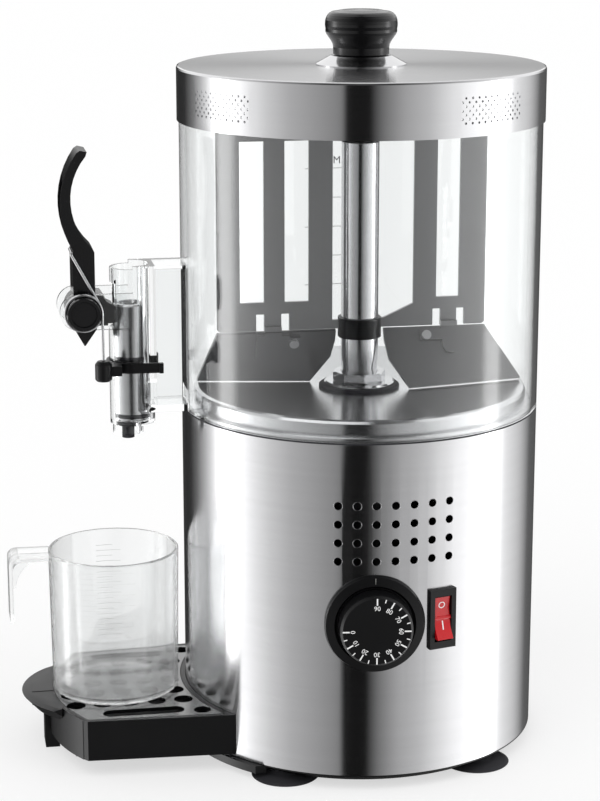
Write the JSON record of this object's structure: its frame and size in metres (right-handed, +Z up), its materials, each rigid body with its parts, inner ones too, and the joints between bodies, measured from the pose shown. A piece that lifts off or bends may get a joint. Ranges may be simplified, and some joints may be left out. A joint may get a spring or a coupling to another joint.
{
  "type": "hot chocolate dispenser",
  "caption": "Countertop hot chocolate dispenser: heated steel base, clear tank with rotating stirrer, lever tap, drip tray with grate, and a clear measuring jug.",
  "frame": {"origin": "under the middle of the whole machine's box, on the plane that its feet stand on", "axes": "+Z up; -Y is the side with the dial and switch; -X is the side with the tap and the drip tray"},
  "size_m": [0.3388, 0.2428, 0.4648],
  "materials": {
    "brushed_steel": "fine brushed stainless sheet",
    "polished_steel": "polished stainless",
    "screw_steel": "plain stainless fasteners",
    "spring_steel": "drawn wire",
    "black_plastic": "moulded, fine satin",
    "black_rubber": "soft moulded rubber",
    "clear_plastic": "clear, glossy",
    "red_plastic": "translucent red, glossy",
    "white_plastic": "natural white",
    "motor_paint": "grey enamel",
    "plated_steel": "zinc plated",
    "heater_metal": "heat-tinted sheath",
    "copper": "drawn copper"
  },
  "bodies": {
    "base": {"base_plate": "black_plastic", "foot_front_left": "black_rubber", "foot_front_right": "black_rubber", "foot_rear_left": "black_rubber", "foot_rear_right": "black_rubber", "foot_screws": "screw_steel", "housing_shell": "brushed_steel", "cord_gland": "black_plastic", "terminal_block": "white_plastic", "pan": "polished_steel", "ring_heater": "heater_metal", "safety_cutout": "plated_steel", "thermostat_probe": "copper", "gear_motor": "motor_paint", "gearbox": "motor_paint", "motor_bracket": "plated_steel", "bracket_screws": "screw_steel", "thermostat_body": "plated_steel", "dial_bezel": "black_plastic", "switch_body": "black_plastic", "tank_gasket": "black_rubber", "tank_shell": "clear_plastic", "column_tube": "polished_steel", "column_seal": "black_rubber", "column_washer": "polished_steel", "column_nut": "polished_steel", "column_lower_bush": "white_plastic", "column_upper_bush": "white_plastic", "pivot_pin": "polished_steel", "pivot_spool": "black_plastic", "pivot_rear_cap": "black_plastic", "spring_clip": "black_plastic", "return_spring": "spring_steel"},
    "lid": {"lid_shell": "brushed_steel", "lid_boss": "polished_steel", "lid_knob": "black_plastic", "lid_knob_screw": "screw_steel", "lid_collar": "black_plastic"},
    "stirrer": {"stirrer_frame": "brushed_steel", "stirrer_hub": "black_plastic", "stirrer_bush": "black_plastic", "scraper_left": "brushed_steel", "scraper_right": "brushed_steel", "scraper_screws": "screw_steel", "drive_shaft": "polished_steel"},
    "lever": {"tap_lever": "black_plastic"},
    "piston": {"tap_piston": "polished_steel", "piston_rings": "black_rubber", "outlet_plug": "black_rubber"},
    "dial": {"dial_knob": "black_plastic", "dial_spindle": "polished_steel"},
    "rocker": {"switch_rocker": "red_plastic"},
    "tray": {"drip_tray": "black_plastic"},
    "grate": {"tray_grate": "black_plastic"},
    "jug": {"measuring_jug": "clear_plastic"}
  },
  "joints": [
    {"name": "lid_lift", "type": "slide", "parent": "base", "child": "lid", "axis": [0, 0, 1], "range_m": [0, 0.12]},
    {"name": "stirrer_spin", "type": "hinge", "parent": "base", "child": "stirrer", "pos_m": [0.05568, 0.0077, 0.3], "axis": [0, 0, 1], "continuous": true},
    {"name": "lever_pull", "type": "hinge", "parent": "base", "child": "lever", "pos_m": [-0.11953, 0.0077, 0.2848], "axis": [0, -1, 0], "range_deg": [0, 26], "stiffness_Nm_per_rad": 0.9, "springref_deg": -17.19, "deforming": ["return_spring"]},
    {"name": "piston_lift", "type": "slide", "parent": "base", "child": "piston", "axis": [0, 0, 1], "range_m": [0, 0.0112]},
    {"name": "dial_turn", "type": "hinge", "parent": "base", "child": "dial", "pos_m": [0.04353, -0.10414, 0.108], "axis": [-0.108, -0.9942, 0], "range_deg": [0, 270]},
    {"name": "rocker_tip", "type": "hinge", "parent": "base", "child": "rocker", "pos_m": [0.08536, -0.10081, 0.108], "axis": [0.9646, 0.2639, 0], "range_deg": [0, 22]},
    {"name": "tray_pull", "type": "slide", "parent": "base", "child": "tray", "axis": [-1, 0, 0], "range_m": [0, 0.06]},
    {"name": "grate_lift", "type": "slide", "parent": "tray", "child": "grate", "axis": [0, 0, 1], "range_m": [0, 0.02]},
    {"name": "jug_lift", "type": "slide", "parent": "grate", "child": "jug", "axis": [0, 0, 1], "range_m": [0, 0.05]}
  ],
  "couplings": [
    {"joint": "piston_lift", "follows": "lever_pull", "m_per_rad": 0.0239}
  ]
}
